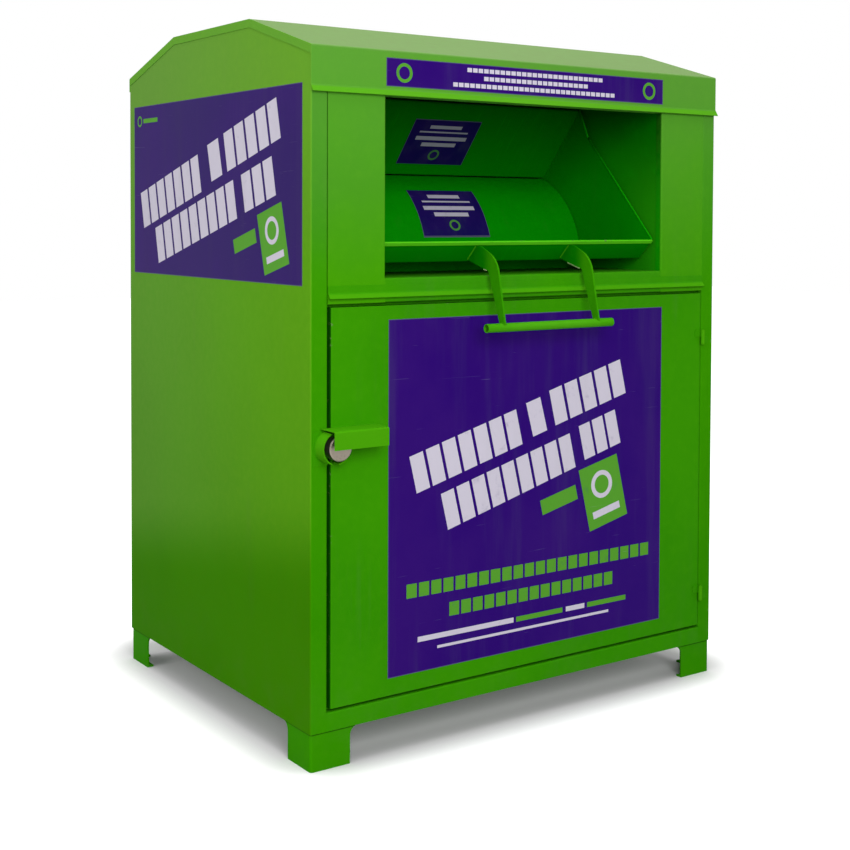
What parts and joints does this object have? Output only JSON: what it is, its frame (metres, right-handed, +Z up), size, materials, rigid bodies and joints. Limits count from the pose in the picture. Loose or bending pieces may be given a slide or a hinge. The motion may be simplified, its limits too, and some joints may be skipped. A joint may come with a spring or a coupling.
{
  "type": "clothing donation bin",
  "caption": "Sheet-steel clothing collection bin on short legs, with a folded roof, a lift-handle bag chute over a convex panel, and a lockable lower door.",
  "frame": {"origin": "on the ground, at the centre of the four anchor holes in the foot flanges", "axes": "+Z up; +X along the front towards the hinge side of the door; -Y towards the person who stands in front of the chute"},
  "size_m": [1.528, 1.2987, 2.062],
  "materials": {
    "green_powder_coat": "semi-gloss lime-green powder coat with fine orange peel",
    "shaded_green_powder_coat": "semi-gloss green powder coat, a little deeper inside the chute",
    "purple_vinyl": "satin cast vinyl",
    "zinc_plated_steel": "zinc plated",
    "stainless_lock": "turned stainless steel",
    "brass_plug": "turned brass",
    "bumper_rubber": "matt black rubber",
    "bush_nylon": "natural nylon"
  },
  "bodies": {
    "cabinet": {"side_panel_left": "green_powder_coat", "side_panel_right": "green_powder_coat", "back_panel": "green_powder_coat", "floor_panel": "green_powder_coat", "roof_cap": "green_powder_coat", "front_cheek_left": "green_powder_coat", "front_cheek_right": "green_powder_coat", "sill_panel": "green_powder_coat", "header_angle": "green_powder_coat", "door_drip_strip": "green_powder_coat", "bottom_rail": "green_powder_coat", "door_stops": "green_powder_coat", "leg_front_left": "green_powder_coat", "leg_front_right": "green_powder_coat", "leg_rear_left": "green_powder_coat", "leg_rear_right": "green_powder_coat", "foot_plates": "shaded_green_powder_coat", "chute_liner_left": "shaded_green_powder_coat", "chute_liner_right": "shaded_green_powder_coat", "drum_panel": "green_powder_coat", "drum_gussets": "shaded_green_powder_coat", "cross_rail": "shaded_green_powder_coat", "chute_bolts": "zinc_plated_steel", "pivot_pins": "zinc_plated_steel", "pivot_nuts": "zinc_plated_steel", "rest_bumpers": "bumper_rubber", "open_stops": "bumper_rubber", "side_stiffeners": "green_powder_coat", "back_stiffeners": "green_powder_coat", "frame_hinge_barrels": "green_powder_coat", "hinge_pins": "green_powder_coat", "lock_backplate": "green_powder_coat", "lock_ring_frame": "green_powder_coat", "side_decal_left": "purple_vinyl", "side_decal_right": "purple_vinyl", "fascia_decal": "purple_vinyl", "drum_label": "purple_vinyl"},
    "tray": {"tray_plate_left": "green_powder_coat", "tray_plate_right": "green_powder_coat", "tray_pan": "green_powder_coat", "tray_lip": "green_powder_coat", "tray_back": "green_powder_coat", "pivot_bushes": "bush_nylon", "handle_arm_left": "green_powder_coat", "handle_arm_right": "green_powder_coat", "handle_tube": "green_powder_coat", "tray_label": "purple_vinyl"},
    "door": {"door_pan": "green_powder_coat", "door_stiffeners": "green_powder_coat", "door_hinge_barrels": "green_powder_coat", "lock_hood": "green_powder_coat", "lock_ring_door": "green_powder_coat", "door_hasp": "green_powder_coat", "door_decal": "purple_vinyl"},
    "lock": {"lock_puck": "stainless_lock"},
    "shackle": {"lock_shackle": "stainless_lock"},
    "key": {"key_plug": "brass_plug"}
  },
  "joints": [
    {"name": "tray_lift", "type": "hinge", "parent": "cabinet", "child": "tray", "pos_m": [0, 0.08, 1.338], "axis": [-1, 0, 0], "range_deg": [0, 60]},
    {"name": "door_swing", "type": "hinge", "parent": "cabinet", "child": "door", "pos_m": [0.709, -0.6085, 0.7], "axis": [0, 0, 1], "range_deg": [0, 120]},
    {"name": "puck_pull", "type": "slide", "parent": "door", "child": "lock", "axis": [0, -1, 0], "range_m": [0, 0.018]},
    {"name": "key_turn", "type": "hinge", "parent": "lock", "child": "key", "pos_m": [-0.68, -0.64, 0.861], "axis": [0, 0, 1], "range_deg": [0, 90]},
    {"name": "shackle_throw", "type": "slide", "parent": "lock", "child": "shackle", "axis": [-1, 0, 0], "range_m": [0, 0.0235]}
  ],
  "couplings": [
    {"joint": "key_turn", "follows": "shackle_throw", "rad_per_m": 66.84}
  ]
}
